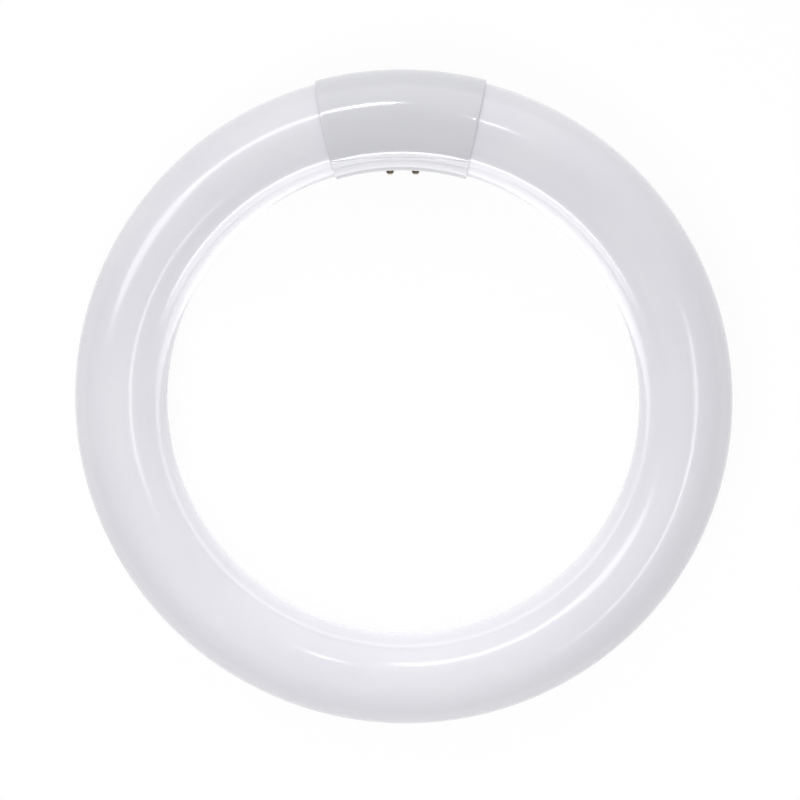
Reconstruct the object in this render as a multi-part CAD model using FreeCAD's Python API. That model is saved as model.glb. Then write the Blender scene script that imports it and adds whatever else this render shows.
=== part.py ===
import FreeCAD, Part
import math
import os

# Ring-shaped fluorescent lamp with a four-pin plastic base, lying flat.
# Frame: the ring's centre is the origin, the ring's axis is +Z and the base is at +Y.
# The four pins point inwards and down at an angle, so the side without pins faces up.
# Lengths are in millimetres and angles in degrees.

# Glass tube, bent into a ring with its two sealed ends inside the base
ring_outer_diameter = 203.2
tube_diameter = 28.575
shoulder_radius = 3.5
mouth_land = 1.0
mouth_flare = 1.4
recess_depth = 9.0
recess_floor_margin = 1.4
exhaust_radius = 1.7
exhaust_length = 5.0
end_clearance = 2.5

# Base, two half shells that close round the glass
shell_clearance = 0.1
shell_wall = 0.85
base_half_length = 22.8
end_lean = 11.9
rim_round = 0.3
pin_angle = 45.0
lip_thickness = 0.4
lip_height = 0.8
lip_clearance = 0.05

# Pegs that join the half shells, one each side of the pins
boss_wall = 1.0
boss_wall_gap = 1.7
peg_radius = 1.1
peg_length = 3.6
peg_clearance = 0.03
peg_chamfer = 0.3

# Flat pad that carries the pins
pad_depth = 1.2
pad_thickness = 2.2
pad_margin = 2.2

# Contact pins, drawn hollow from brass
pin_spacing_along = 7.92
pin_spacing_across = 6.35
pin_radius = 1.18
pin_wall = 0.43
pin_reach = 6.6
pin_tip_round = 0.9
pin_tip_wall = 1.0
shank_step = 0.22
shank_clearance = 0.02
flange_step = 0.5
flange_thickness = 0.6

# Lead wires, the solder that holds them in the pins and the sleeving on them
wire_radius = 0.25
wire_bend_radius = 1.8
wire_straight = 1.0
wire_run_in = 6.2
solder_wall = 0.13
solder_clearance = 0.02
solder_dome = 0.15
sleeving_wall = 0.3
sleeving_clearance = 0.05
sleeving_setback = 1.5
sleeving_pin_gap = 0.3

# Sizes that follow from the ones above
tube_radius = tube_diameter / 2
centre_radius = ring_outer_diameter / 2 - tube_radius
shell_inner_radius = tube_radius + shell_clearance
shell_outer_radius = shell_inner_radius + shell_wall
pad_half_length = pin_spacing_along / 2 + pad_margin
pad_distance = shell_outer_radius - pad_depth
pad_inner_face = pad_distance - pad_thickness
glass_gap = 2 * (pad_half_length + shell_wall + end_clearance)
mouth_radius = tube_radius - shoulder_radius - mouth_land
pin_bore_radius = pin_radius - pin_wall
pin_inner_end = pad_inner_face - flange_thickness
pin_tip = pad_distance + pin_reach
shank_radius = pin_radius + shank_step
flange_radius = shank_radius + flange_step
solder_radius = wire_radius + solder_wall
sleeving_radius = wire_radius + sleeving_clearance + sleeving_wall
recess_floor_radius = pin_spacing_across / 2 + sleeving_radius + recess_floor_margin
boss_radius = peg_radius + boss_wall
boss_across = shell_inner_radius - boss_wall_gap - boss_radius

# Directions and places in the base: along the tube, across the pad, and out through the pins
up = FreeCAD.Vector(0, 0, 1)
centre = FreeCAD.Vector(0, 0, 0)
tilt = math.radians(pin_angle)
base_centre = FreeCAD.Vector(0, centre_radius, 0)
along = FreeCAD.Vector(1, 0, 0)
across = FreeCAD.Vector(0, -math.sin(tilt), math.cos(tilt))
out = FreeCAD.Vector(0, -math.cos(tilt), -math.sin(tilt))
sides = (-1, 1)

# Cutters reach this far past what they cut, and roots this far into what they join
spare = 1.0


def base_point(x, y, z):
    """A point in the ring's frame, given along, across and out from the base's centre."""
    return base_centre + along * x + across * y + out * z


def base_box(half_x, half_y, z_low, z_high):
    """A box square to the pad, centred on the pins along and across."""
    corners = [
        base_point(x * half_x, y * half_y, z_low)
        for x, y in ((-1, -1), (1, -1), (1, 1), (-1, 1), (-1, -1))
    ]
    face = Part.Face(Part.makePolygon(corners))
    return face.extrude(out * (z_high - z_low))


def base_rod(radius, x, y, z_low, z_high):
    """A round rod square to the pad."""
    return Part.makeCylinder(radius, z_high - z_low, base_point(x, y, z_low), out)


def turned(profile, origin, axis):
    """A solid turned from points given as (distance along the axis, radius)."""
    side = axis.cross(up)
    side.normalize()
    points = [origin + axis * a + side * r for a, r in profile]
    face = Part.Face(Part.makePolygon(points + points[:1]))
    return face.revolve(origin, axis, 360)


def bent_rod(radius, half_angle):
    """A stretch of the ring's tube with another radius, centred on the base."""
    circle = Part.makeCircle(radius, base_centre, along)
    face = Part.Face(Part.Wire(circle))
    face.rotate(centre, up, -half_angle)
    return face.revolve(centre, up, 2 * half_angle)


def base_wedge():
    """The space between the base's two end planes, which lean less than the radius does."""
    middle = math.sqrt(centre_radius ** 2 - base_half_length ** 2)
    inner_rim = centre_radius - shell_outer_radius
    near = inner_rim * math.cos(math.radians(wedge_half_angle())) - spare
    far = centre_radius + shell_outer_radius + spare
    slope = math.tan(math.radians(end_lean))
    half_near = base_half_length + (near - middle) * slope
    half_far = base_half_length + (far - middle) * slope
    low = -shell_outer_radius - spare
    corners = (
        FreeCAD.Vector(-half_near, near, low),
        FreeCAD.Vector(half_near, near, low),
        FreeCAD.Vector(half_far, far, low),
        FreeCAD.Vector(-half_far, far, low),
        FreeCAD.Vector(-half_near, near, low),
    )
    return Part.Face(Part.makePolygon(corners)).extrude(up * (-2 * low))


def wedge_half_angle():
    """Half the angle that a bent rod needs to reach past both end planes."""
    reach = math.asin(base_half_length / centre_radius)
    return math.degrees(reach) + end_lean


def end_angle():
    """How far round the ring from the base's middle the bent part of the glass ends."""
    mouth_distance = math.hypot(centre_radius, shoulder_radius)
    mouth_angle = math.asin(glass_gap / 2 / mouth_distance)
    return mouth_angle + math.atan2(shoulder_radius, centre_radius)


def end_frame(side):
    """One sealed glass end: its mouth's centre, the way out of it and the radial way."""
    angle = end_angle()
    radial = FreeCAD.Vector(side * math.sin(angle), math.cos(angle), 0)
    leaving = FreeCAD.Vector(-side * math.cos(angle), math.sin(angle), 0)
    return radial * centre_radius + leaving * shoulder_radius, leaving, radial


def rounded_end(mouth, leaving):
    """The rounded shoulder that closes the tube round its mouth."""
    side = leaving.cross(up)
    start = mouth - leaving * shoulder_radius
    lip_radius = tube_radius - shoulder_radius
    half_turn = math.sqrt(0.5) * shoulder_radius
    rim = start + side * tube_radius
    middle = start + side * (lip_radius + half_turn) + leaving * half_turn
    lip = mouth + side * lip_radius
    edges = [
        Part.makeLine(start, rim),
        Part.Arc(rim, middle, lip).toShape(),
        Part.makeLine(lip, mouth),
        Part.makeLine(mouth, start),
    ]
    return Part.Face(Part.Wire(edges)).revolve(mouth, leaving, 360)


def glass_tube():
    """The whole bulb: the ring, its two sealed ends and the tipped-off exhaust stubs."""
    angle = math.degrees(end_angle())
    circle = Part.makeCircle(tube_radius, base_centre, along)
    face = Part.Face(Part.Wire(circle))
    face.rotate(centre, up, angle)
    glass = face.revolve(centre, up, 360 - 2 * angle)
    for side in sides:
        mouth, leaving, radial = end_frame(side)
        glass = glass.fuse(rounded_end(mouth, leaving))
        recess = turned(
            (
                (-recess_depth, 0),
                (-recess_depth, recess_floor_radius),
                (-mouth_flare, mouth_radius - mouth_flare),
                (0, mouth_radius),
                (spare, mouth_radius),
                (spare, 0),
            ),
            mouth,
            leaving,
        )
        floor = mouth - leaving * recess_depth
        stub_length = exhaust_length - exhaust_radius
        stub = Part.makeCylinder(exhaust_radius, stub_length, floor, leaving)
        tip = Part.makeSphere(exhaust_radius, floor + leaving * stub_length)
        glass = glass.cut(recess).fuse(stub).fuse(tip)
    return glass.removeSplitter()


def plain_sleeve():
    """Both half shells as one sleeve, with the outer rims rounded."""
    half_angle = wedge_half_angle()
    sleeve = bent_rod(shell_outer_radius, half_angle).cut(
        bent_rod(shell_inner_radius, half_angle)
    )
    sleeve = sleeve.common(base_wedge())
    rims = [edge for edge in sleeve.Edges if is_outer_rim(edge)]
    return sleeve.makeFillet(min(rim_round, shell_wall / 2), rims)


def is_outer_rim(edge):
    """Whether an edge runs up and over the sleeve at one of its outer rims."""
    middle = edge.valueAt((edge.FirstParameter + edge.LastParameter) / 2)
    from_ring = math.hypot(middle.x, middle.y) - centre_radius
    from_tube_axis = math.hypot(from_ring, middle.z)
    wall_middle = shell_inner_radius + shell_wall / 2
    return edge.BoundBox.ZLength > tube_radius / 2 and from_tube_axis > wall_middle


def peg_places():
    """Where the pegs stand, across from the pins."""
    return [(0, row * boss_across) for row in sides]


def base_front_shell():
    """The half shell without pins, with two pegs moulded on."""
    reach = 2 * shell_outer_radius
    shell = plain_sleeve().common(base_box(3 * reach, reach, -reach, 0))
    rebate_radius = shell_inner_radius + lip_thickness + lip_clearance
    rebate = bent_rod(rebate_radius, wedge_half_angle()).common(
        base_box(3 * reach, reach, -lip_height - lip_clearance, spare)
    )
    shell = shell.cut(rebate)
    wall_middle = bent_rod(shell_inner_radius + shell_wall / 2, wedge_half_angle())
    for x, y in peg_places():
        boss = base_rod(boss_radius, x, y, -reach, 0).common(wall_middle)
        tip_start = peg_length - peg_chamfer
        peg = base_rod(peg_radius, x, y, -spare, tip_start)
        tip_radius = peg_radius - peg_chamfer
        tip_place = base_point(x, y, tip_start)
        tip = Part.makeCone(peg_radius, tip_radius, peg_chamfer, tip_place, out)
        shell = shell.fuse(boss).fuse(peg).fuse(tip)
    return shell.removeSplitter()


def pin_places():
    """Along and across places of the four pins, side by side and row by row."""
    return [
        (side * pin_spacing_along / 2, row * pin_spacing_across / 2)
        for side in sides
        for row in sides
    ]


def base_pin_shell():
    """The half shell with the flat pad that the pins stand in."""
    reach = 2 * shell_outer_radius
    half_angle = wedge_half_angle()
    shell = plain_sleeve().common(base_box(3 * reach, reach, 0, reach))
    lip = bent_rod(shell_inner_radius + lip_thickness, half_angle).cut(
        bent_rod(shell_inner_radius, half_angle)
    )
    lip = lip.common(base_wedge()).common(base_box(3 * reach, reach, -lip_height, 0))
    shell = shell.fuse(lip)
    block = base_box(pad_half_length + shell_wall, reach, pad_inner_face, reach)
    shell = shell.fuse(block.common(bent_rod(shell_outer_radius, half_angle)))
    shell = shell.cut(base_box(pad_half_length, reach, pad_distance, reach))
    wall_middle = bent_rod(shell_inner_radius + shell_wall / 2, half_angle)
    for x, y in peg_places():
        boss = base_rod(boss_radius, x, y, 0, reach).common(wall_middle)
        hole_depth = peg_length + peg_chamfer
        hole = base_rod(peg_radius + peg_clearance, x, y, -spare, hole_depth)
        shell = shell.fuse(boss).cut(hole)
    for x, y in pin_places():
        hole_radius = shank_radius + shank_clearance
        shell = shell.cut(base_rod(hole_radius, x, y, pad_inner_face - spare, pin_tip))
    return shell.removeSplitter()


def is_far_circle(edge, middle):
    """Whether an edge is the circle round the given point."""
    curve = edge.Curve
    if not hasattr(curve, "Center"):
        return False
    return (curve.Center - middle).Length < 1e-6


def contact_pin(x, y):
    """One hollow pin with a flange inside the pad and an eye in its rounded tip."""
    body = base_rod(pin_radius, x, y, pad_distance, pin_tip)
    tip_edges = [e for e in body.Edges if is_far_circle(e, base_point(x, y, pin_tip))]
    body = body.makeFillet(pin_tip_round, tip_edges)
    body = body.fuse(base_rod(shank_radius, x, y, pad_inner_face, pad_distance))
    body = body.fuse(base_rod(flange_radius, x, y, pin_inner_end, pad_inner_face))
    bore_end = pin_tip - pin_tip_wall
    body = body.cut(base_rod(pin_bore_radius, x, y, pin_inner_end - spare, bore_end))
    eye_radius = solder_radius + solder_clearance
    return body.cut(base_rod(eye_radius, x, y, bore_end - spare, pin_tip + spare))


def wire_route(x, y):
    """The points of one lead, from the glass end's recess to the pin's tip."""
    mouth, leaving, radial = end_frame(math.copysign(1, x))
    end_across = radial * -math.sin(tilt) + up * math.cos(tilt)
    start = mouth + end_across * y - leaving * recess_depth
    return [
        start,
        start + leaving * (recess_depth + wire_straight),
        base_point(x, y, pin_inner_end - wire_run_in),
        base_point(x, y, pin_tip - pin_tip_wall),
    ]


def rounded_path(points, bend_radius):
    """Straight runs joined by arcs that touch both runs."""
    edges = []
    previous = points[0]
    for before, corner, after in zip(points, points[1:], points[2:]):
        back = (before - corner).normalize()
        ahead = (after - corner).normalize()
        half_turn = (math.pi - back.getAngle(ahead)) / 2
        setback = bend_radius * math.tan(half_turn)
        entry = corner + back * setback
        leave = corner + ahead * setback
        inward = (back + ahead).normalize()
        depth = bend_radius / math.cos(half_turn) - bend_radius
        edges.append(Part.makeLine(previous, entry))
        edges.append(Part.Arc(entry, corner + inward * depth, leave).toShape())
        previous = leave
    edges.append(Part.makeLine(previous, points[-1]))
    return Part.Wire(edges)


def swept(points, radius):
    """A round section carried along a rounded path."""
    path = rounded_path(points, wire_bend_radius)
    start = points[0]
    circle = Part.makeCircle(radius, start, points[1] - start)
    return path.makePipeShell([Part.Wire(circle)], True, False)


def lead_wire(x, y):
    """One bare lead wire with the bead of solder that fills the eye of its pin."""
    wire = swept(wire_route(x, y), wire_radius)
    bead = base_rod(solder_radius, x, y, pin_tip - pin_tip_wall, pin_tip)
    dome_edges = [e for e in bead.Edges if is_far_circle(e, base_point(x, y, pin_tip))]
    return wire.fuse(bead.makeFillet(solder_dome, dome_edges))


def lead_sleeving(x, y):
    """The sleeving slipped over one lead, from the recess to the pin's flange."""
    points = wire_route(x, y)
    leaving = (points[1] - points[0]).normalize()
    sleeve_end = pin_inner_end - sleeving_pin_gap
    outer = [points[0] + leaving * sleeving_setback, points[1], points[2]]
    outer.append(base_point(x, y, sleeve_end))
    inner = [points[0], points[1], points[2], base_point(x, y, sleeve_end + spare)]
    bore = swept(inner, wire_radius + sleeving_clearance)
    return swept(outer, sleeving_radius).cut(bore)


pieces = {
    "glass_tube": glass_tube(),
    "base_front_shell": base_front_shell(),
    "base_pin_shell": base_pin_shell(),
}
for number, (x, y) in enumerate(pin_places(), 1):
    pieces[f"contact_pin_{number}"] = contact_pin(x, y)
    pieces[f"lead_wire_{number}"] = lead_wire(x, y)
    pieces[f"lead_sleeving_{number}"] = lead_sleeving(x, y)

os.makedirs("parts", exist_ok=True)
for name, shape in pieces.items():
    solids = shape.Solids
    print(name, len(solids), "solid", shape.isValid(), round(shape.Volume, 3))
    shape.exportStep(f"parts/{name}.step")
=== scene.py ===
import math

import bpy
from mathutils import Matrix, Vector


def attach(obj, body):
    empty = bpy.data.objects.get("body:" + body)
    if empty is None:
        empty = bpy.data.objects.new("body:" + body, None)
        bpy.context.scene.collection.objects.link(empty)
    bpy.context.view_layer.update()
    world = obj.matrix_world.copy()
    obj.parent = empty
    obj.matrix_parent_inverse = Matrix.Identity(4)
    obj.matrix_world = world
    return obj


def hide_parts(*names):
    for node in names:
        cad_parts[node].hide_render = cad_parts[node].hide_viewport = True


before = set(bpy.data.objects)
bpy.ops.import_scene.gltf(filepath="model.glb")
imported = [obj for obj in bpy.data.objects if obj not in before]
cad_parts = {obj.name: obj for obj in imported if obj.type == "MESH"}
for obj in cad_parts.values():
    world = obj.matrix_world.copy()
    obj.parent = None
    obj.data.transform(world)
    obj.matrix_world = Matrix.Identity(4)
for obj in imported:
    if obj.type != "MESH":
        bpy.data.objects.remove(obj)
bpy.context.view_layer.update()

# Glass bulb: one tube bent hot into a ring, coated white inside and sealed at both ends.
# Each end turns in to a mouth with a stem set back in it, and the stem carries the stub
# that was melted off when the bulb was filled. Both ends stay hidden in the base.
bpy.ops.object.select_all(action="DESELECT")
ring_outer_radius = 0.1016
tube_radius = 0.0142875
ring_radius = ring_outer_radius - tube_radius
glass_gap = 0.01902
shoulder_radius = 0.0035
mouth_land = 0.001
mouth_radius = tube_radius - shoulder_radius - mouth_land
mouth_flare = 0.0014
recess_depth = 0.009
recess_floor_radius = 0.005175
stub_radius = 0.0017
stub_length = 0.005
mouth_angle = math.asin(glass_gap / 2 / math.hypot(ring_radius, shoulder_radius))
end_angle = mouth_angle + math.atan2(shoulder_radius, ring_radius)
tube_corners = 96
ring_steps = 320
merge_distance = 1e-7
same_place = 0.0001


def name_piece(name, smooth_angle):
    """Turns the mesh's faces outwards, smooths it and gives the piece its name."""
    piece = bpy.context.active_object
    bpy.ops.object.mode_set(mode="EDIT")
    bpy.ops.mesh.select_all(action="SELECT")
    bpy.ops.mesh.remove_doubles(threshold=merge_distance)
    bpy.ops.mesh.normals_make_consistent(inside=False)
    bpy.ops.object.mode_set(mode="OBJECT")
    bpy.ops.object.shade_smooth_by_angle(angle=math.radians(smooth_angle))
    piece.name = name
    piece.data.name = name
    piece.select_set(False)
    return piece


def pick(kind, wanted):
    """Selects only the vertices, edges or faces whose middle passes the test."""
    bpy.ops.mesh.select_mode(type=kind)
    bpy.ops.mesh.select_all(action="DESELECT")
    bpy.ops.object.mode_set(mode="OBJECT")
    mesh = bpy.context.active_object.data
    parts = {"VERT": mesh.vertices, "EDGE": mesh.edges, "FACE": mesh.polygons}[kind]
    for part in parts:
        corners = [part.index] if kind == "VERT" else part.vertices
        middle = sum((mesh.vertices[c].co for c in corners), Vector()) / len(corners)
        part.select = wanted(middle)
    bpy.ops.object.mode_set(mode="EDIT")


def turn_profile(centre, axis, steps):
    """Extrudes what is selected through steps of (distance along the axis, radius)."""
    place, radius = steps[0]
    for next_place, next_radius in steps[1:]:
        move = axis * (next_place - place)
        bpy.ops.mesh.extrude_region_move(TRANSFORM_OT_translate={"value": move})
        if abs(next_radius - radius) > 1e-9:
            growth = next_radius / radius
            bpy.ops.transform.resize(
                value=(growth, growth, growth),
                center_override=centre + axis * next_place,
            )
        place, radius = next_place, next_radius


def quarter_turn(place, radius, centre_radius, start, stop, count):
    """Steps round a quarter circle, as distances along the axis and radii."""
    steps = []
    for number in range(1, count + 1):
        angle = math.radians(start + (stop - start) * number / count)
        along_axis = place + radius * math.sin(angle)
        steps.append((along_axis, centre_radius + radius * math.cos(angle)))
    return steps


# The spin runs clockwise seen from above, so it starts right of the base.
start_angle = math.pi / 2 - end_angle
bpy.ops.mesh.primitive_circle_add(
    vertices=tube_corners,
    radius=tube_radius,
    fill_type="NGON",
    location=(ring_radius * math.cos(start_angle), ring_radius * math.sin(start_angle), 0),
    rotation=(math.pi / 2, 0, start_angle),
)
bpy.ops.object.transform_apply(location=True, rotation=True, scale=True)
bpy.ops.object.mode_set(mode="EDIT")
bpy.ops.mesh.select_all(action="SELECT")
bpy.ops.mesh.spin(
    steps=ring_steps,
    angle=2 * math.pi - 2 * end_angle,
    center=(0, 0, 0),
    axis=(0, 0, 1),
)
end_profile = [(0, tube_radius)]
shoulder_centre = tube_radius - shoulder_radius
end_profile += quarter_turn(0, shoulder_radius, shoulder_centre, 0, 90, 8)
end_profile += [
    (shoulder_radius, mouth_radius),
    (shoulder_radius - mouth_flare, mouth_radius - mouth_flare),
    (shoulder_radius - recess_depth, recess_floor_radius),
    (shoulder_radius - recess_depth, stub_radius),
]
stub_dome = shoulder_radius - recess_depth + stub_length - stub_radius
end_profile += [(stub_dome, stub_radius)]
end_profile += quarter_turn(stub_dome, stub_radius, 0, 0, 80, 5)
for side in (-1, 1):
    radial = Vector((side * math.sin(end_angle), math.cos(end_angle), 0))
    leaving = Vector((-side * math.cos(end_angle), math.sin(end_angle), 0))
    seam = radial * ring_radius
    pick("FACE", lambda middle: (middle - seam).length < same_place)
    turn_profile(seam, leaving, end_profile)
bpy.ops.object.mode_set(mode="OBJECT")
glass_ring = name_piece("glass_ring", 40)


def new_finish(name):
    """A new node material and its shader."""
    material = bpy.data.materials.new(name)
    material.use_nodes = True
    return material, material.node_tree.nodes["Principled BSDF"]


def add_node(owner, kind, inputs=(), **settings):
    """A node of a material or of the room, with its settings and unlinked inputs set."""
    node = owner.node_tree.nodes.new(kind)
    for name, value in settings.items():
        setattr(node, name, value)
    for name, value in dict(inputs).items():
        node.inputs[name].default_value = value
    return node


def mottle(material, shader, scale, pale, deep):
    """Lets the colour drift over the piece between a pale and a deep tone."""
    link = material.node_tree.links.new
    place = add_node(material, "ShaderNodeTexCoord")
    noise = add_node(material, "ShaderNodeTexNoise", {"Scale": scale, "Detail": 3.0})
    ramp = add_node(material, "ShaderNodeValToRGB")
    ramp.color_ramp.elements[0].position = 0.35
    ramp.color_ramp.elements[0].color = (*deep, 1)
    ramp.color_ramp.elements[1].position = 0.65
    ramp.color_ramp.elements[1].color = (*pale, 1)
    link(place.outputs["Object"], noise.inputs["Vector"])
    link(noise.outputs["Fac"], ramp.inputs["Fac"])
    link(ramp.outputs["Color"], shader.inputs["Base Color"])
    return place


def unevenness(material, shader, place, scale, height, sockets=("Normal",)):
    """Makes the surface uneven by a real height, in metres, at a given grain."""
    link = material.node_tree.links.new
    noise = add_node(material, "ShaderNodeTexNoise", {"Scale": scale, "Detail": 2.0})
    bump = add_node(material, "ShaderNodeBump", {"Strength": 1.0, "Distance": height})
    link(place.outputs["Object"], noise.inputs["Vector"])
    link(noise.outputs["Fac"], bump.inputs["Height"])
    for socket in sockets:
        link(bump.outputs["Normal"], shader.inputs[socket])


coated_glass, shader = new_finish("coated_glass")
place = mottle(coated_glass, shader, 30.0, (0.815, 0.811, 0.858), (0.79, 0.785, 0.838))
unevenness(coated_glass, shader, place, 35.0, 0.00014, ("Normal", "Coat Normal"))
shader.inputs["Roughness"].default_value = 0.5
shader.inputs["Specular IOR Level"].default_value = 0.25
shader.inputs["Coat Weight"].default_value = 1.0
shader.inputs["Coat Roughness"].default_value = 0.16
shader.inputs["Coat IOR"].default_value = 1.5
glass_ring.data.materials.append(coated_glass)
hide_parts("glass_tube")
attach(glass_ring, "root")

# Base, front half shell: moulded plastic, thin-walled and closed over the upper side of the
# two glass ends. Its edge is rebated inside for the other half's lip, and its two pegs are
# pressed and glued into the other half, so the base doesn't come off the glass.
shell_clearance = 0.0001
shell_wall = 0.00085
shell_inner_radius = tube_radius + shell_clearance
shell_outer_radius = shell_inner_radius + shell_wall
base_half_length = 0.0228
end_lean = math.radians(11.9)
pin_angle = math.radians(45)
lip_thickness = 0.0004
lip_radius = shell_inner_radius + lip_thickness
lip_height = 0.0008
lip_clearance = 0.00005
rim_round = 0.0003
seam_round = 0.00012
peg_radius = 0.0011
peg_length = 0.0036
peg_chamfer = 0.0003
boss_wall = 0.001
boss_radius = peg_radius + boss_wall
boss_wall_gap = 0.0017
boss_across = shell_inner_radius - boss_wall_gap - boss_radius
band_corners = 216
band_half_turn = math.radians(16.6)
band_end_step = math.radians(2.4)
band_steps = 34
seam_strip = 0.0005
cutter_reach = 0.0005
on_plane = 0.00001
rod_corners = 48
base_centre = Vector((0, ring_radius, 0))
along = Vector((1, 0, 0))
across = Vector((0, -math.sin(pin_angle), math.cos(pin_angle)))
out = Vector((0, -math.cos(pin_angle), -math.sin(pin_angle)))


def base_point(along_base, across_pad, out_of_pad):
    """A point given along, across and out from the middle of the base."""
    return base_centre + along * along_base + across * across_pad + out * out_of_pad


def out_of_base(point):
    """How far a point lies on the pins' side of the seam."""
    return (point - base_centre).dot(out)


def off_ring(point):
    """How far a point lies from the middle line of the tube."""
    return math.hypot(math.hypot(point.x, point.y) - ring_radius, point.z)


def slice_off(point, direction):
    """Cuts the mesh with a plane and takes away what lies beyond it."""
    bpy.ops.mesh.select_all(action="SELECT")
    bpy.ops.mesh.bisect(
        plane_co=point,
        plane_no=direction,
        use_fill=True,
        clear_outer=True,
        threshold=1e-8,
    )


def bent_band(large_radius, small_radius):
    """Starts a piece as a band all round the tube, a little longer than the base."""
    bpy.ops.object.select_all(action="DESELECT")
    bpy.ops.mesh.primitive_circle_add(
        vertices=band_corners,
        radius=large_radius,
        location=base_centre,
        rotation=(0, math.pi / 2, 0),
    )
    bpy.ops.object.transform_apply(location=True, rotation=True, scale=True)
    bpy.ops.object.mode_set(mode="EDIT")
    bpy.ops.mesh.select_mode(type="EDGE")
    bpy.ops.mesh.select_all(action="SELECT")
    shrink = small_radius / large_radius
    bpy.ops.mesh.extrude_region_move(TRANSFORM_OT_translate={"value": (0, 0, 0)})
    bpy.ops.transform.resize(value=(shrink,) * 3, center_override=base_centre)
    bend_along_ring(band_half_turn, band_end_step, band_steps)


def bend_along_ring(half_turn, end_step, steps):
    """Carries the section round the ring, from left of the base's middle to its right."""
    bpy.ops.object.mode_set(mode="OBJECT")
    bpy.context.active_object.rotation_euler.z = half_turn
    bpy.ops.object.transform_apply(location=True, rotation=True, scale=True)
    bpy.ops.object.mode_set(mode="EDIT")
    bpy.ops.mesh.select_all(action="SELECT")
    middle_turn = 2 * (half_turn - end_step)
    for angle, count in ((end_step, 1), (middle_turn, steps), (end_step, 1)):
        bpy.ops.mesh.spin(steps=count, angle=angle, center=(0, 0, 0), axis=(0, 0, 1))


def from_base_end(point):
    """How far a point lies past the leaning end plane on its side of the base."""
    middle_y = math.sqrt(ring_radius**2 - base_half_length**2)
    return abs(point.x) - base_half_length - math.tan(end_lean) * (point.y - middle_y)


def cut_base_ends(setback):
    """Cuts both ends of a band with the base's end planes."""
    middle_y = math.sqrt(ring_radius**2 - base_half_length**2)
    for side in (-1, 1):
        end = Vector((side * (base_half_length - setback), middle_y, 0))
        slice_off(end, Vector((side, -math.tan(end_lean), 0)).normalized())


def even_out_seam(side, width):
    """Makes a clean strip of faces along the seam, with no edges running into it."""
    bpy.ops.mesh.select_all(action="SELECT")
    bpy.ops.mesh.bisect(plane_co=base_point(0, 0, side * width), plane_no=out)
    bpy.ops.mesh.select_mode(type="EDGE")
    bpy.ops.mesh.select_all(action="DESELECT")
    bpy.ops.object.mode_set(mode="OBJECT")
    mesh = bpy.context.active_object.data
    for edge in mesh.edges:
        start, end = [mesh.vertices[corner].co for corner in edge.vertices]
        depth = side * out_of_base((start + end) / 2)
        runs_along = abs(end.x - start.x) > (end - start).length / 2
        edge.select = runs_along and on_plane < depth < width - on_plane
    bpy.ops.object.mode_set(mode="EDIT")
    bpy.ops.mesh.dissolve_edges(use_verts=True)


def half_shell(side):
    """One half of the sleeve, on the pins' side of the seam (1) or off it (-1)."""
    bent_band(shell_outer_radius, shell_inner_radius)
    slice_off(base_centre, -out * side)
    even_out_seam(side, seam_strip)
    cut_base_ends(0)
    outside = shell_outer_radius - 2 * on_plane
    pick("EDGE", lambda point: off_ring(point) > outside and abs(from_base_end(point)) < on_plane)
    bpy.ops.mesh.bevel(offset=rim_round, segments=4, affect="EDGES")
    pick("EDGE", lambda point: off_ring(point) > outside and abs(out_of_base(point)) < on_plane)
    bpy.ops.mesh.bevel(offset=seam_round, segments=3, affect="EDGES")
    bpy.ops.object.mode_set(mode="OBJECT")


def round_rod(place, steps, fill_type="NGON"):
    """A round rod square to the pad, through steps of (distance out, radius)."""
    bpy.ops.object.select_all(action="DESELECT")
    bpy.ops.mesh.primitive_circle_add(
        vertices=rod_corners,
        radius=steps[0][1],
        fill_type=fill_type,
        location=place + out * steps[0][0],
        rotation=out.to_track_quat("Z", "Y").to_euler(),
    )
    bpy.ops.object.transform_apply(location=True, rotation=True, scale=True)
    bpy.ops.object.mode_set(mode="EDIT")
    bpy.ops.mesh.select_mode(type="EDGE")
    bpy.ops.mesh.select_all(action="SELECT")
    turn_profile(place, out, steps)
    bpy.ops.object.mode_set(mode="OBJECT")
    return name_piece("rod", 40)


def boss(row, side, steps):
    """A round boss from the seam to the wall, with its end cut along the wall's slope."""
    place = base_point(0, row * boss_across, 0)
    post = round_rod(place, steps)
    wall_radius = (shell_inner_radius + shell_outer_radius) / 2
    near_edge = boss_across - boss_radius
    far_edge = boss_across + boss_radius
    deep = math.sqrt(wall_radius**2 - near_edge**2)
    shallow = math.sqrt(wall_radius**2 - far_edge**2)
    wall = base_point(0, row * near_edge, side * deep)
    slope = (deep - shallow) / (far_edge - near_edge)
    post.select_set(True)
    bpy.ops.object.mode_set(mode="EDIT")
    slice_off(wall, (out * side + across * row * slope).normalized())
    bpy.ops.object.mode_set(mode="OBJECT")
    return name_piece("boss", 40)


def combine(piece, other, operation):
    """Joins another solid to the piece, or cuts it out, and takes the other one away."""
    bpy.ops.object.select_all(action="DESELECT")
    bpy.context.view_layer.objects.active = piece
    piece.select_set(True)
    bpy.ops.object.modifier_add(type="BOOLEAN")
    change = piece.modifiers[-1]
    change.object = other
    change.operation = operation
    change.solver = "EXACT"
    bpy.ops.object.modifier_apply(modifier=change.name)
    bpy.data.objects.remove(other)


half_shell(-1)
front_shell = name_piece("front_shell", 30)
bent_band(lip_radius + lip_clearance, shell_inner_radius - cutter_reach)
slice_off(base_point(0, 0, -lip_height - lip_clearance), -out)
slice_off(base_point(0, 0, cutter_reach), out)
bpy.ops.object.mode_set(mode="OBJECT")
combine(front_shell, name_piece("rebate", 30), "DIFFERENCE")
for row in (-1, 1):
    tip_start = peg_length - peg_chamfer
    tip_radius = peg_radius - peg_chamfer
    post = boss(row, -1, (
        (-shell_outer_radius, boss_radius),
        (0, boss_radius),
        (0, peg_radius),
        (tip_start, peg_radius),
        (peg_length, tip_radius),
    ))
    combine(front_shell, post, "UNION")
front_shell = name_piece("front_shell", 30)

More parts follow.
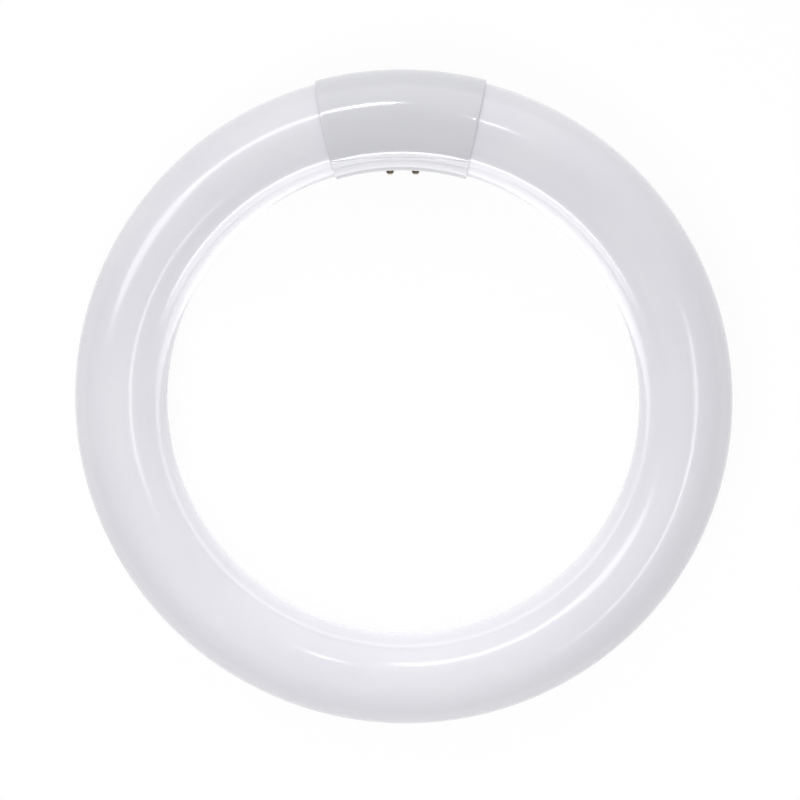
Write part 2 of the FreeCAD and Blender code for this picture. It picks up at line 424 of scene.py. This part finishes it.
base_plastic, shader = new_finish("base_plastic")
place = mottle(base_plastic, shader, 60.0, (0.722, 0.722, 0.76), (0.708, 0.71, 0.748))
unevenness(base_plastic, shader, place, 90.0, 0.00004)
shader.inputs["Roughness"].default_value = 0.12
shader.inputs["Specular IOR Level"].default_value = 0.65
shader.inputs["IOR"].default_value = 1.5
front_shell.data.materials.append(base_plastic)
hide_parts("base_front_shell")
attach(front_shell, "root")

# Base, pin half shell: moulded of the same plastic, with a thin lip that slips inside the
# front half. A flat pad sunk into its middle carries the pins, with a hole for each, and
# the two bosses beside the pad take the other half's pegs.
pin_spacing_along = 0.00792
pin_spacing_across = 0.00635
pad_margin = 0.0022
pad_depth = 0.0012
pad_thickness = 0.0022
pad_half_length = pin_spacing_along / 2 + pad_margin
pad_distance = shell_outer_radius - pad_depth
pad_inner_face = pad_distance - pad_thickness
shank_radius = 0.0014
shank_clearance = 0.00002
hole_radius = shank_radius + shank_clearance
hole_overrun = 0.001
peg_clearance = 0.00003
peg_hole_radius = peg_radius + peg_clearance
peg_hole_depth = peg_length + peg_chamfer
lip_root = 0.0003
lip_setback = 0.00001
slab_corners = 108
slab_half_turn = math.radians(6.5)
slab_end_step = math.radians(1)
slab_steps = 12
pin_places = [
    (side * pin_spacing_along / 2, row * pin_spacing_across / 2)
    for side in (-1, 1)
    for row in (-1, 1)
]

half_shell(1)
pin_shell = name_piece("pin_shell", 30)
bent_band(lip_radius, shell_inner_radius + lip_setback)
slice_off(base_point(0, 0, -lip_height), -out)
slice_off(base_point(0, 0, lip_root), out)
cut_base_ends(lip_setback)
bpy.ops.object.mode_set(mode="OBJECT")
combine(pin_shell, name_piece("lip", 30), "UNION")

bpy.ops.object.select_all(action="DESELECT")
bpy.ops.mesh.primitive_circle_add(
    vertices=slab_corners,
    radius=(shell_inner_radius + shell_outer_radius) / 2,
    fill_type="NGON",
    location=base_centre,
    rotation=(0, math.pi / 2, 0),
)
bpy.ops.object.transform_apply(location=True, rotation=True, scale=True)
bpy.ops.object.mode_set(mode="EDIT")
bend_along_ring(slab_half_turn, slab_end_step, slab_steps)
slab_half_length = pad_half_length + shell_wall
slice_off(base_point(0, 0, pad_inner_face), -out)
slice_off(base_point(-slab_half_length, 0, 0), -along)
slice_off(base_point(slab_half_length, 0, 0), along)
bpy.ops.object.mode_set(mode="OBJECT")
combine(pin_shell, name_piece("slab", 30), "UNION")

bpy.ops.mesh.primitive_cube_add(
    size=1,
    location=base_point(0, 0, pad_distance + shell_outer_radius / 2),
    rotation=(-pin_angle, 0, 0),
    scale=(2 * pad_half_length, 2 * shell_outer_radius, shell_outer_radius),
)
bpy.ops.object.transform_apply(location=True, rotation=True, scale=True)
combine(pin_shell, name_piece("recess", 30), "DIFFERENCE")

for row in (-1, 1):
    post = boss(row, 1, (
        (peg_hole_depth, peg_hole_radius),
        (0, peg_hole_radius),
        (0, boss_radius),
        (shell_outer_radius, boss_radius),
    ))
    combine(pin_shell, post, "UNION")
for x, y in pin_places:
    pin_hole = round_rod(base_point(x, y, 0), (
        (pad_inner_face - hole_overrun, hole_radius),
        (pad_distance + hole_overrun, hole_radius),
    ))
    combine(pin_shell, pin_hole, "DIFFERENCE")
pin_shell = name_piece("pin_shell", 30)
pin_shell.data.materials.append(base_plastic)
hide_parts("base_pin_shell")
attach(pin_shell, "root")

# Contact pins: each is drawn hollow from brass sheet, with a flange inside the pad, a
# thicker shank in the pad's hole and a rounded tip with an eye. They are pressed into the
# pad. A painted dark reflection, brown-black and rougher, covers them from the pad out and
# leaves the tip nearly bare brass.
pin_radius = 0.00118
pin_wall = 0.00043
pin_bore_radius = pin_radius - pin_wall
pin_reach = 0.0066
pin_tip = pad_distance + pin_reach
pin_tip_wall = 0.001
pin_bore_end = pin_tip - pin_tip_wall
pin_tip_round = 0.0009
eye_radius = 0.0004
flange_step = 0.0005
flange_radius = shank_radius + flange_step
flange_thickness = 0.0006
flange_face = pad_inner_face - flange_thickness
tip_flat_radius = pin_radius - pin_tip_round
eye_angle = math.degrees(math.acos((eye_radius - tip_flat_radius) / pin_tip_round))
pin_profile = [
    (pin_bore_end, eye_radius),
    (pin_bore_end, pin_bore_radius),
    (flange_face, pin_bore_radius),
    (flange_face, flange_radius),
    (pad_inner_face, flange_radius),
    (pad_inner_face, shank_radius),
    (pad_distance, shank_radius),
    (pad_distance, pin_radius),
    (pin_tip - pin_tip_round, pin_radius),
]
pin_profile += quarter_turn(
    pin_tip - pin_tip_round, pin_tip_round, tip_flat_radius, 0, eye_angle, 8
)
pin_profile += [(pin_bore_end, eye_radius)]

pin_brass, shader = new_finish("pin_brass")
place = mottle(pin_brass, shader, 900.0, (0.82, 0.74, 0.58), (0.70, 0.61, 0.46))
unevenness(pin_brass, shader, place, 2500.0, 0.00001)
shader.inputs["Metallic"].default_value = 1.0
bare_metal = shader.inputs["Base Color"].links[0].from_socket

# How much of the brass the painted dark reflection covers, from the pad (0) to the tip (1).
dark_reflection_steps = ((0.0, 0.55), (0.5, 0.65), (0.68, 0.96), (0.8, 0.96), (0.9, 0.1))
dark_reflection_colour = (0.035, 0.028, 0.022, 1)
bright_roughness = 0.22
dull_roughness = 0.5
base_reach = base_centre.dot(out)
reach_out = add_node(pin_brass, "ShaderNodeVectorMath", {1: out}, operation="DOT_PRODUCT")
along_pin = add_node(
    pin_brass,
    "ShaderNodeMapRange",
    {"From Min": base_reach + pad_distance, "From Max": base_reach + pin_tip},
)
dark_reflection = add_node(pin_brass, "ShaderNodeValToRGB")
while len(dark_reflection.color_ramp.elements) < len(dark_reflection_steps):
    dark_reflection.color_ramp.elements.new(0.5)
for element, (position, share) in zip(dark_reflection.color_ramp.elements, dark_reflection_steps):
    element.position = position
    element.color = (share, share, share, 1)
# The painted dark reflection mixes the brass towards brown-black along each pin.
reflection_darkened = add_node(
    pin_brass, "ShaderNodeMix", {"B": dark_reflection_colour}, data_type="RGBA", blend_type="MIX"
)
dulling = add_node(
    pin_brass, "ShaderNodeMapRange", {"To Min": bright_roughness, "To Max": dull_roughness}
)
link = pin_brass.node_tree.links.new
link(place.outputs["Object"], reach_out.inputs[0])
link(reach_out.outputs["Value"], along_pin.inputs["Value"])
link(along_pin.outputs["Result"], dark_reflection.inputs["Fac"])
link(dark_reflection.outputs["Color"], reflection_darkened.inputs["Factor"])
link(bare_metal, reflection_darkened.inputs["A"])
link(reflection_darkened.outputs["Result"], shader.inputs["Base Color"])
link(dark_reflection.outputs["Color"], dulling.inputs["Value"])
link(dulling.outputs["Result"], shader.inputs["Roughness"])

for number, (x, y) in enumerate(pin_places, 1):
    round_rod(base_point(x, y, 0), pin_profile, "NOTHING")
    pin = name_piece(f"pin_{number}", 40)
    pin.data.materials.append(pin_brass)
    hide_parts(f"contact_pin_{number}")
    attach(pin, "root")

# Lead wires: thin nickel-plated wire, run from the glass ends through the pins and held
# in each tip with a bead of solder. Soft woven sleeving keeps them apart inside the base.
lead_metal, shader = new_finish("lead_metal")
place = mottle(lead_metal, shader, 1200.0, (0.62, 0.61, 0.60), (0.50, 0.49, 0.48))
unevenness(lead_metal, shader, place, 1500.0, 0.00002)
shader.inputs["Metallic"].default_value = 1.0
shader.inputs["Roughness"].default_value = 0.42

sleeving, shader = new_finish("sleeving")
place = mottle(sleeving, shader, 500.0, (0.80, 0.77, 0.69), (0.72, 0.69, 0.61))
unevenness(sleeving, shader, place, 2500.0, 0.00005)
shader.inputs["Roughness"].default_value = 0.85
for number in range(1, 5):
    for node, finish in (("lead_wire", lead_metal), ("lead_sleeving", sleeving)):
        lead_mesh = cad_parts[f"{node}_{number}"].data
        lead_mesh.materials.clear()
        lead_mesh.materials.append(finish)

# Floor: the lamp lies on its two lower pins and on the far side of the glass, so the floor
# falls a little towards the base. It shows plain white and keeps the lamp's soft shadow, and
# from below it is clear, so that the lamp's under side can be seen.
floor_width = 12.0
floor_white = 0.9
floor_glow = 0.912
floor_shading = 0.1
tip_centre = base_point(0, pin_spacing_across / 2, pin_tip - pin_tip_round)
run = ring_radius + tip_centre.y
reach = math.hypot(run, tip_centre.z)
floor_tilt = math.atan2(-tip_centre.z, run) - math.asin((tube_radius - pin_tip_round) / reach)
floor_normal = Vector((0, math.sin(floor_tilt), math.cos(floor_tilt)))
floor_level = floor_normal.dot(Vector((0, -ring_radius, 0))) - tube_radius
floor_point = floor_normal * floor_level
bpy.ops.mesh.primitive_plane_add(
    size=floor_width, location=floor_point, rotation=(-floor_tilt, 0, 0)
)
floor = bpy.context.active_object
floor.name = "floor"

floor_paper, shader = new_finish("floor_paper")
shader.inputs["Base Color"].default_value = (floor_white, floor_white, floor_white, 1)
shader.inputs["Roughness"].default_value = 1.0
shader.inputs["Specular IOR Level"].default_value = 0.0
glow = add_node(floor_paper, "ShaderNodeEmission", {"Strength": floor_glow})
faint = add_node(
    floor_paper, "ShaderNodeBsdfDiffuse", {"Color": (floor_shading, floor_shading, floor_shading, 1)}
)
seen = add_node(floor_paper, "ShaderNodeAddShader")
clear = add_node(floor_paper, "ShaderNodeBsdfTransparent")
rays = add_node(floor_paper, "ShaderNodeLightPath")
face_side = add_node(floor_paper, "ShaderNodeNewGeometry")
camera_or_glossy = add_node(floor_paper, "ShaderNodeMath", operation="MAXIMUM")
any_seen = add_node(floor_paper, "ShaderNodeMath", operation="MAXIMUM")
by_ray = add_node(floor_paper, "ShaderNodeMixShader")
by_side = add_node(floor_paper, "ShaderNodeMixShader")
link = floor_paper.node_tree.links.new
link(glow.outputs["Emission"], seen.inputs[0])
link(faint.outputs["BSDF"], seen.inputs[1])
link(rays.outputs["Is Camera Ray"], camera_or_glossy.inputs[0])
link(rays.outputs["Is Glossy Ray"], camera_or_glossy.inputs[1])
link(camera_or_glossy.outputs["Value"], any_seen.inputs[0])
link(rays.outputs["Is Transmission Ray"], any_seen.inputs[1])
link(any_seen.outputs["Value"], by_ray.inputs["Fac"])
link(shader.outputs["BSDF"], by_ray.inputs[1])
link(seen.outputs["Shader"], by_ray.inputs[2])
link(face_side.outputs["Backfacing"], by_side.inputs["Fac"])
link(by_ray.outputs["Shader"], by_side.inputs[1])
link(clear.outputs["BSDF"], by_side.inputs[2])
link(by_side.outputs["Shader"], floor_paper.node_tree.nodes["Material Output"].inputs["Surface"])
floor.data.materials.append(floor_paper)

# Room: an even pale sky that is brighter low down behind the base, as from a window there.
# Where the camera sees it past the floor it shows the same white as the floor.
sky_level = 0.49
window_level = 1.22
window_way = (0.08, 0.997, 0)
window_spread = 2
seen_level = 0.985
room = bpy.data.worlds.new("room")
bpy.context.scene.world = room
room.use_nodes = True
sky = room.node_tree.nodes["Background"]
sky.inputs["Color"].default_value = (1, 1, 1, 1)
way = add_node(room, "ShaderNodeTexCoord")
toward = add_node(room, "ShaderNodeVectorMath", {1: window_way}, operation="DOT_PRODUCT")
ahead = add_node(room, "ShaderNodeMath", {1: 0}, operation="MAXIMUM")
fading = add_node(room, "ShaderNodeMath", {1: window_spread}, operation="POWER")
level = add_node(
    room, "ShaderNodeMath", {1: window_level, 2: sky_level}, operation="MULTIPLY_ADD"
)
rays = add_node(room, "ShaderNodeLightPath")
shown = add_node(room, "ShaderNodeMix", {"B": seen_level})
link = room.node_tree.links.new
link(way.outputs["Generated"], toward.inputs[0])
link(toward.outputs["Value"], ahead.inputs[0])
link(ahead.outputs["Value"], fading.inputs[0])
link(fading.outputs["Value"], level.inputs[0])
link(rays.outputs["Is Camera Ray"], shown.inputs["Factor"])
link(level.outputs["Value"], shown.inputs["A"])
link(shown.outputs["Result"], sky.inputs["Strength"])

# Lights: two soft boxes over the near side and a low one behind on the left light the lamp,
# and a card on the floor inside the ring throws light up on its inner side. The other lamps
# and cards only gleam, and draw the long lines of light on the glass and the base.
middle = Vector((0, 0, 0))
above = Vector((0, 0, 1))
right_way = Vector((1, 0, 0))
card_level = -0.0135
card_gleam_level = -0.0128
upright_y = -0.05


def soft_light(name, centre, facing, long_way, size, brightness):
    """A soft light turned to a point, with its face's length, width and brightness."""
    length, width = size
    data = bpy.data.lights.new(name, "AREA")
    data.shape = "ELLIPSE"
    data.size = length
    data.size_y = width
    data.energy = brightness * math.pi * length * width
    light = bpy.data.objects.new(name, data)
    bpy.context.scene.collection.objects.link(light)
    back = (centre - facing).normalized()
    side = (long_way - back * long_way.dot(back)).normalized()
    upright = back.cross(side)
    turn = Matrix((side, upright, back)).transposed().to_4x4()
    light.matrix_world = Matrix.Translation(centre) @ turn
    light.visible_camera = False
    return light


# Each light has its name, its middle, the point that it faces, the way that it is long, its
# length and width, and its brightness. The card's gleam lies just above the card's light,
# because in one plane only the light would be met.
lit = (
    ("box_light", Vector((-0.12, -0.2, 0.48)), middle, right_way, (0.34, 0.34), 2.1),
    ("near_light", Vector((0.15, -0.25, 0.4)), middle, right_way, (0.3, 0.3), 0.4),
    ("side_light", Vector((-0.22, 0.26, 0.2)), middle, right_way, (0.2, 0.2), 0.32),
    ("card_light", Vector((0, 0, card_level)), above, right_way, (0.15, 0.15), 0.53),
)
for light in lit:
    soft_light(*light).visible_glossy = False
gleams = (
    ("lamp_1", Vector((-0.12, 0.585, 0.6)), middle, Vector((0.92, 0.38, 0)), (0.2, 0.045), 24.0),
    ("lamp_2", Vector((-0.35, 0.485, 0.6)), middle, Vector((0.86, 0.52, 0)), (0.4, 0.12), 5.0),
    ("lamp_3", Vector((-0.54, 0.24, 0.6)), middle, Vector((0.2, 1, 0)), (0.4, 0.26), 3.4),
    ("lamp_4", Vector((0.12, 0.35, 0.6)), middle, Vector((0, 1, 0)), (0.05, 0.03), 30.0),
    ("lamp_5", Vector((0.34, -0.2, 0.80)), middle, Vector((0.6, 0.8, 0)), (0.6, 0.08), 5.0),
    (
        "card_gleam",
        Vector((0, 0.028, card_gleam_level)),
        Vector((0, 0.028, 1)),
        right_way,
        (0.12, 0.088),
        1.45,
    ),
    (
        "upright_gleam",
        Vector((0, upright_y, 0.011)),
        Vector((0, 1, 0.011)),
        right_way,
        (0.12, 0.049),
        2.6,
    ),
    (
        "line_gleam",
        Vector((0, upright_y, 0.040)),
        Vector((0, 1, 0.040)),
        right_way,
        (0.12, 0.009),
        13.0,
    ),
)
for gleam in gleams:
    soft_light(*gleam).visible_diffuse = False

# Camera: nearly straight above the ring and a little towards the base.
camera_data = bpy.data.cameras.new("camera")
camera = bpy.data.objects.new("camera", camera_data)
bpy.context.scene.collection.objects.link(camera)
camera_place = Vector((0.0274, 0.1115, 0.700))
camera_aim = Vector((-0.0007, 0.0013, 0))
camera_roll = math.radians(0.23)
back = (camera_place - camera_aim).normalized()
image_up = Vector((math.sin(camera_roll), math.cos(camera_roll), 0))
image_right = image_up.cross(back).normalized()
camera_turn = Matrix((image_right, back.cross(image_right), back)).transposed().to_4x4()
camera.matrix_world = Matrix.Translation(camera_place) @ camera_turn
camera_data.lens = 103.2
camera_data.sensor_width = 36
camera_data.clip_start = 0.01
bpy.context.scene.camera = camera
bpy.context.scene.view_settings.view_transform = "Standard"
